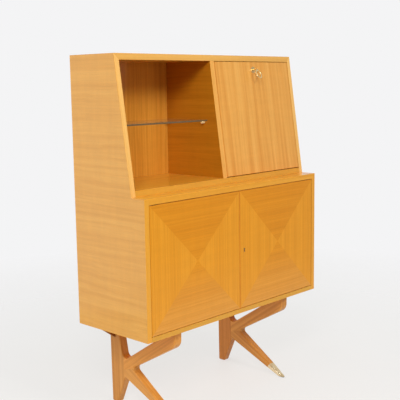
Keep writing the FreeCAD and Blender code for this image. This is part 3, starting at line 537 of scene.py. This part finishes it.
SLOT_MATERIAL = {
    "case_veneer": board_veneer, "back_veneer": back_veneer, "door_veneer": edge_level,
    "flap_veneer": flap_veneer, "leg_wood": bracket_wood, "polished_brass": brass,
    "lock_steel": steel, "screw_steel": steel, "shelf_glass": glass, "glide_rubber": rubber,
}
NODE_MATERIAL = {
    "flap_key": handled_brass, "key_bow": handled_brass, "flap_escutcheon": handled_brass,
    "glass_shelf_pegs": plated_brass,
}


def material_of(node):
    return NODE_MATERIAL.get(node, SLOT_MATERIAL[slot_of[node]])


# Modelling helpers

def only(piece):
    bpy.ops.object.select_all(action="DESELECT")
    piece.select_set(True)
    bpy.context.view_layer.objects.active = piece


def copy_of(node, ending):
    """A copy of a CAD node with its triangles merged into whole faces, in the node's place."""
    piece = bpy.data.objects.new(node + ending, nodes[node].data.copy())
    bpy.context.scene.collection.objects.link(piece)
    only(piece)
    bpy.ops.mesh.customdata_custom_splitnormals_clear()
    bpy.ops.object.mode_set(mode="EDIT")
    bpy.ops.mesh.select_all(action="SELECT")
    bpy.ops.mesh.remove_doubles(threshold=SAME_POINT)
    bpy.ops.mesh.dissolve_limited(angle_limit=SAME_PLANE)
    bpy.ops.object.mode_set(mode="OBJECT")
    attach(piece, body_of[node])
    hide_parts(node)
    return piece


def select_faces(piece, wanted):
    """Selects the faces of a piece in edit mode that satisfy a test."""
    bpy.ops.mesh.select_mode(type="FACE")
    bpy.ops.mesh.select_all(action="DESELECT")
    mesh = bmesh.from_edit_mesh(piece.data)
    for face in mesh.faces:
        if wanted(face):
            face.select_set(True)
    bmesh.update_edit_mesh(piece.data)


def select_edges(piece, wanted):
    """Selects the edges of a piece in edit mode that satisfy a test."""
    bpy.ops.mesh.select_mode(type="EDGE")
    bpy.ops.mesh.select_all(action="DESELECT")
    mesh = bmesh.from_edit_mesh(piece.data)
    for edge in mesh.edges:
        edge.select = wanted(edge)
    bmesh.update_edit_mesh(piece.data)


def outer_corner(edge):
    return edge.calc_face_angle_signed(0.0) > SHARP


def slice_faces(piece, wanted, point, normal):
    """Cuts the faces that satisfy a test with a plane."""
    only(piece)
    bpy.ops.object.mode_set(mode="EDIT")
    select_faces(piece, wanted)
    bpy.ops.mesh.bisect(plane_co=point, plane_no=normal)
    bpy.ops.object.mode_set(mode="OBJECT")


def round_edges(piece, wanted, width, steps, **options):
    """Rounds the edges that satisfy a test."""
    only(piece)
    bpy.ops.object.mode_set(mode="EDIT")
    select_edges(piece, wanted)
    bpy.ops.mesh.bevel(offset=width, segments=steps, affect="EDGES", **options)
    bpy.ops.object.mode_set(mode="OBJECT")


def finish_all(piece, material):
    piece.data.materials.clear()
    piece.data.materials.append(material)


def finish_faces(piece, materials, choose):
    """Gives each face the material that choose(centre, normal) picks."""
    piece.data.materials.clear()
    for material in materials:
        piece.data.materials.append(material)
    for face in piece.data.polygons:
        face.material_index = materials.index(choose(face.center, face.normal))


def smooth(piece, angle):
    """Smooth shading with flat faces kept level."""
    only(piece)
    bpy.ops.object.shade_smooth_by_angle(angle=angle)
    level = piece.modifiers.new("level_shading", "WEIGHTED_NORMAL")
    level.keep_sharp = True
    bpy.ops.object.modifier_apply(modifier=level.name)


def ease_board(piece, width, edge_wood):
    """Rounds the long outer edges of a board and gives them the edge wood, which shows wear and a painted
    highlight on the case's boards and painted gap shade on the doors and flap.
    """
    def long_corner(edge):
        return edge.calc_length() > LONG_EDGE and outer_corner(edge)

    piece.data.materials.append(edge_wood)
    round_edges(piece, long_corner, width, EASE_STEPS, material=len(piece.data.materials) - 1)
    smooth(piece, BOARD_SMOOTH)


# CAD nodes

def finish_nodes():
    """Every CAD node gets a finish, also where a piece replaces it."""
    for name, node in nodes.items():
        finish_all(node, material_of(name))


# Case boards

def upright_finish(outer, slope_edge):
    """Lipping on the front edges, inner veneer on the faces inside the case and case veneer elsewhere."""
    def choose(centre, normal):
        if normal.dot(SLOPE_OUT) > FACING and centre.z > SLOPE_FOOT.z:
            return slope_edge
        if normal.y < -FACING:
            return edge_upright
        if abs(normal.x) > FACING and normal.x * outer <= 0:
            return inner_side
        return side_veneer
    return choose


def level_finish(outer, outer_veneer, front_edge):
    """Lipping on the front edge, inner veneer on the faces inside the case and outer veneer elsewhere."""
    def choose(centre, normal):
        if normal.y < -FACING:
            return front_edge
        if abs(normal.z) > FACING and normal.z * outer <= 0:
            return inner_board
        return outer_veneer
    return choose


def make_upright_boards():
    for node, outer, edge in (("left_side_panel", -1, edge_slope),
                              ("right_side_panel", 1, edge_slope),
                              ("upper_divider", 0, edge_divider)):
        board = copy_of(node, "_veneered")
        finish_faces(board, [side_veneer, inner_side, edge_upright, edge], upright_finish(outer, edge))
        ease_board(board, BOARD_EASE, worn_edge)


def make_level_boards():
    for node, outer, face, edge in (("top_panel", 1, top_veneer, edge_head),
                                    ("ledge_board", 1, board_veneer, edge_level),
                                    ("upper_floor", 0, board_veneer, edge_floor),
                                    ("bottom_panel", -1, board_veneer, edge_floor),
                                    ("lower_shelf", 0, board_veneer, edge_level),
                                    ("door_stop", 0, board_veneer, edge_level),
                                    ("flap_stop", 0, board_veneer, edge_level)):
        board = copy_of(node, "_veneered")
        finish_faces(board, [face, inner_board, edge], level_finish(outer, face, edge))
        ease_board(board, BOARD_EASE, worn_edge)


def make_backs():
    def choose(centre, normal):
        return back_veneer if normal.y < -FACING else rear_ply

    for node in ("upper_back", "lower_back"):
        board = copy_of(node, "_veneered")
        finish_faces(board, [back_veneer, rear_ply], choose)
        ease_board(board, BOARD_EASE, worn_edge)


# Doors and flap

def make_door(node, shift):
    """A door with four leaves of veneer that meet on its diagonals, painted gap shade on its edges and a
    veneered back.
    """
    low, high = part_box(node)
    size = high - low
    middle = Vector(((low.x + high.x) / 2, low.y, (low.z + high.z) / 2))
    door = copy_of(node, "_veneered")
    for side in (-1, 1):
        slice_faces(door, lambda face: face.normal.dot(FRONT) > SQUARE_ON, middle,
                    Vector((size.z, 0, side * size.x)))
    level_shift = shift + LEAF_MISMATCH
    upright = matched_veneer(node + "_upright", middle, GRAIN_UP, UPRIGHT_TONES, shift)
    head = matched_veneer(node + "_head", middle, GRAIN_ACROSS, HEAD_TONES, level_shift)
    foot = matched_veneer(node + "_foot", middle, GRAIN_ACROSS, FOOT_TONES, level_shift,
                          reflection_middle=FOOT_REFLECTION_MIDDLE, reach=size.z / 2)

    def choose(centre, normal):
        if normal.y > PARTLY_FACING:
            return back_veneer
        if normal.y > -PARTLY_FACING:
            return rubbed_edge
        from_middle = centre - middle
        if abs(from_middle.x) * size.z > abs(from_middle.z) * size.x:
            return upright
        return head if from_middle.z > 0 else foot

    finish_faces(door, [upright, head, foot, rubbed_edge, back_veneer], choose)
    ease_board(door, DOOR_EASE, rubbed_edge)


def make_flap():
    """The flap has painted gap shade on its edges, and inside it is veneered as the backs are."""
    flap = copy_of("flap", "_veneered")

    def choose(centre, normal):
        outward = normal.dot(SLOPE_OUT)
        if outward > PARTLY_FACING:
            return flap_veneer
        return back_veneer if outward < -PARTLY_FACING else rubbed_edge

    finish_faces(flap, [flap_veneer, back_veneer, rubbed_edge], choose)
    ease_board(flap, DOOR_EASE, rubbed_edge)


# Glass shelf

def make_glass():
    sheet = copy_of("glass_shelf", "_ground")
    finish_faces(sheet, [glass, ground_glass],
                 lambda centre, normal: glass if abs(normal.z) > FACING else ground_glass)
    smooth(sheet, BOARD_SMOOTH)
    sheet.visible_shadow = False
    sheet.visible_diffuse = False


# Legs

def make_leg(side, boards):
    """A leg frame whose post, arm and front member each have their own grain, and the bracket behind it."""
    # boards hold each member's shares of painted light and shade
    woods = {member: leg_wood(side + "_leg_" + member + "_wood", along, boards[member], shift)
             for member, (along, shift) in LEG_MEMBERS.items()}
    split = LEG_KNEE - LEG_FRONT_CROTCH
    split_normal = Vector((0, -split.z, split.y))
    leg = copy_of(side + "_leg_frame", "_shaped")
    slice_faces(leg, lambda face: True, LEG_KNEE, Vector((0, 1, 0)))
    slice_faces(leg, lambda face: face.calc_center_median().y < LEG_KNEE.y, LEG_KNEE, split_normal)

    def choose(centre, normal):
        if centre.y > LEG_KNEE.y:
            return woods["post"]
        return woods["arm"] if (centre - LEG_KNEE).dot(split_normal) > 0 else woods["front"]

    finish_faces(leg, list(woods.values()), choose)
    smooth(leg, LEG_SMOOTH)
    bracket = copy_of(side + "_rear_bracket", "_shaped")
    finish_all(bracket, bracket_wood)
    ease_board(bracket, BRACKET_EASE, bracket_wood)


# Metal fittings

def make_fitting(node, width, steps):
    """A fitting with its sharp edges broken."""
    piece = copy_of(node, "_finished")
    finish_all(piece, material_of(node))
    edge = piece.modifiers.new("broken_edges", "BEVEL")
    edge.width = width
    edge.segments = steps
    edge.limit_method = "ANGLE"
    edge.angle_limit = METAL_SHARP
    only(piece)
    bpy.ops.object.modifier_apply(modifier=edge.name)
    smooth(piece, METAL_SMOOTH)


def make_bow():
    """The key's bow with a rounded bar, left square where it straddles the stem."""
    joints = record["behaviour"]["joints"]
    pin = next(Vector(joint["pos_m"]) for joint in joints if joint["name"] == "bow_swing")
    bow = copy_of("key_bow", "_finished")
    finish_all(bow, material_of("key_bow"))

    def on_bar(edge):
        clear = all((vertex.co - pin).length > BOW_LUG for vertex in edge.verts)
        return clear and outer_corner(edge)

    round_edges(bow, on_bar, BOW_ROUND, BOW_STEPS)
    smooth(bow, METAL_SMOOTH)


def make_fittings():
    for node, slot in slot_of.items():
        if slot in ("polished_brass", "lock_steel", "glide_rubber") and node != "key_bow":
            make_fitting(node, *FITTING_EDGES.get(node, (METAL_EASE, EASE_STEPS)))


# Screws

def make_screws(node):
    """Countersunk screws with a slot cut across each head, no two slots in line."""
    piece = copy_of(node, "_slotted")
    faces = piece.data.polygons
    widest = max(face.area for face in faces)
    heads = [(face.center.copy(), face.normal.copy()) for face in faces if face.area > HEAD_SHARE * widest]
    radius = math.sqrt(widest / math.pi)
    half_slot = SLOT_SHARE * radius / 2
    only(piece)
    bpy.ops.object.mode_set(mode="EDIT")
    for count, (centre, normal) in enumerate(heads):
        along = Matrix.Rotation(SLOT_TURN * count, 3, normal) @ normal.orthogonal().normalized()
        across = normal.cross(along)

        def on_head(face):
            near = face.calc_center_median() - centre
            level = face.normal.dot(normal) > SQUARE_ON and abs(near.dot(normal)) < HEAD_LEVEL
            return level and near.length < radius

        def in_slot(face):
            return on_head(face) and abs((face.calc_center_median() - centre).dot(across)) < half_slot / 2

        for side in (-1, 1):
            select_faces(piece, on_head)
            bpy.ops.mesh.bisect(plane_co=centre + across * (side * half_slot), plane_no=across)
        select_faces(piece, in_slot)
        sink = normal * (-SLOT_DEPTH_SHARE * radius)
        bpy.ops.mesh.extrude_region_move(TRANSFORM_OT_translate={"value": sink})
    bpy.ops.object.mode_set(mode="OBJECT")
    finish_all(piece, steel)
    smooth(piece, SCREW_SMOOTH)


# Surroundings

def make_floor():
    """A pale floor that fades into the background some way from the object."""
    bpy.ops.object.select_all(action="DESELECT")
    bpy.ops.mesh.primitive_circle_add(vertices=FLOOR_CORNERS, radius=FLOOR_RADIUS, fill_type="NGON")
    floor = bpy.context.object
    floor.name = "floor"
    shader = Shader("pale_floor")
    place = shader.object_place()
    shader.two_tones(shader.noise(place, scale=0.8), FLOOR_DARK, FLOOR_LIGHT, span=WIDE_SPAN)
    away = shader.vector("LENGTH", place)
    shader.link(shader.range(away, FLOOR_FADE, (1.0, 0.0)), shader.surface.inputs["Alpha"])
    shader.set(Roughness=0.6, Specular_IOR_Level=0.2, Emission_Color=FLOOR_GLOW, Emission_Strength=0.62)
    finish_all(floor, shader.material)


def make_lamp(name, place, target, size, power):
    lamp = bpy.data.lights.new(name, "AREA")
    lamp.shape = "RECTANGLE"
    lamp.size, lamp.size_y = size
    lamp.energy = power
    holder = bpy.data.objects.new(name, lamp)
    holder.location = place
    holder.rotation_euler = (Vector(target) - Vector(place)).to_track_quat("-Z", "Y").to_euler()
    holder.visible_transmission = False
    bpy.context.scene.collection.objects.link(holder)


def make_room():
    """An even background, and fill light that comes mostly from the white walls."""
    world = bpy.data.worlds.new("studio")
    bpy.context.scene.world = world
    world.use_nodes = True
    world.node_tree.nodes.clear()
    room = Nodes(world.node_tree)
    direction = room.add("ShaderNodeTexCoord").outputs["Generated"]
    wallward = room.vector("DOT_PRODUCT", direction, WHITE_WALLS)
    strength = room.range(wallward, WALL_SPAN, (DARK_FILL, WHITE_FILL))
    fill = room.feed(room.add("ShaderNodeBackground"), Color=FILL_COLOUR, Strength=strength)
    seen = room.feed(room.add("ShaderNodeBackground"), Color=BACKGROUND)
    camera_ray = room.add("ShaderNodeLightPath").outputs["Is Camera Ray"]
    mix = room.add("ShaderNodeMixShader")
    for source, socket in zip((camera_ray, fill.outputs[0], seen.outputs[0]), mix.inputs):
        room.link(source, socket)
    room.link(mix.outputs[0], room.add("ShaderNodeOutputWorld").inputs["Surface"])
    bpy.context.scene.view_settings.view_transform = "Standard"


def make_camera():
    data = bpy.data.cameras.new("camera")
    data.lens = LENS
    data.sensor_width = SENSOR
    camera = bpy.data.objects.new("camera", data)
    turn = (Matrix.Rotation(CAMERA_YAW, 4, "Z") @ Matrix.Rotation(CAMERA_PITCH, 4, "X")
            @ Matrix.Rotation(CAMERA_ROLL, 4, "Y") @ Matrix.Rotation(CAMERA_LEVEL, 4, "X"))
    camera.matrix_world = Matrix.Translation(CAMERA_PLACE) @ turn
    bpy.context.scene.collection.objects.link(camera)
    bpy.context.scene.camera = camera


finish_nodes()
make_upright_boards()
make_level_boards()
make_backs()
for door_node, door_shift in DOOR_SHIFT.items():
    make_door(door_node, door_shift)
make_flap()
make_glass()
for leg_side, leg_light_and_shade in LEG_LIGHT_AND_SHADE.items():
    make_leg(leg_side, leg_light_and_shade)
make_bow()
make_fittings()
for screw_node, screw_slot in slot_of.items():
    if screw_slot == "screw_steel":
        make_screws(screw_node)
make_floor()
for lamp_name, lamp_setting in LAMPS.items():
    make_lamp(lamp_name, *lamp_setting)
make_room()
make_camera()
